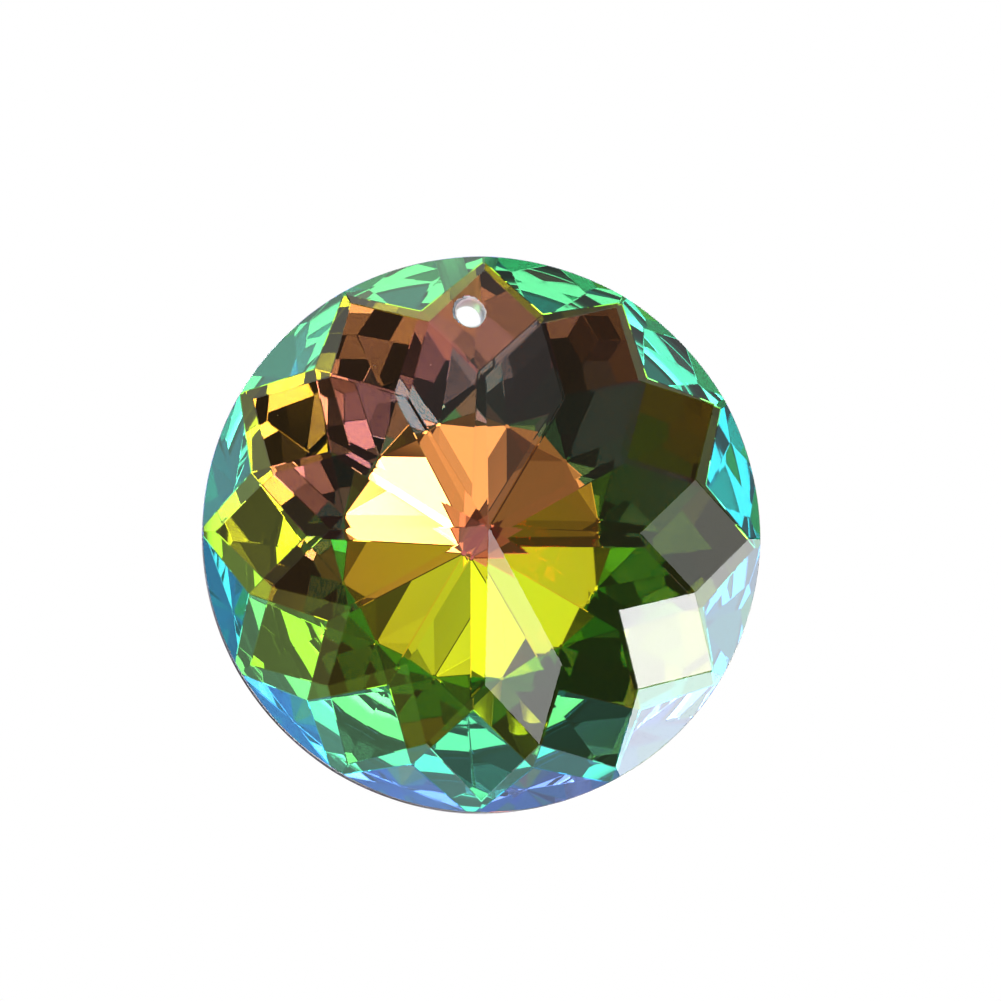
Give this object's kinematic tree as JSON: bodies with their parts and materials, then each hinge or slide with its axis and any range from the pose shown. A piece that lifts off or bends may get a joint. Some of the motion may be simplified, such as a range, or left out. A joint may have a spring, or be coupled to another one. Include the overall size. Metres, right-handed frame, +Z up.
{
  "type": "hanging crystal pendant",
  "caption": "Round clear crystal pendant cut with kite, diamond and triangle facets on both faces, drilled near its top edge to hang on a wire ring.",
  "frame": {"origin": "middle of the drilled hang hole, half way through the crystal", "axes": "+Z up as the pendant hangs, -Y out of the front face, +X to the right as seen from the front"},
  "size_m": [0.045, 0.0157, 0.0451],
  "materials": {
    "crystal_glass": "polished clear crystal glass with a rainbow coating on its back facets"
  },
  "bodies": {
    "root": {"crystal": "crystal_glass"}
  },
  "joints": []
}
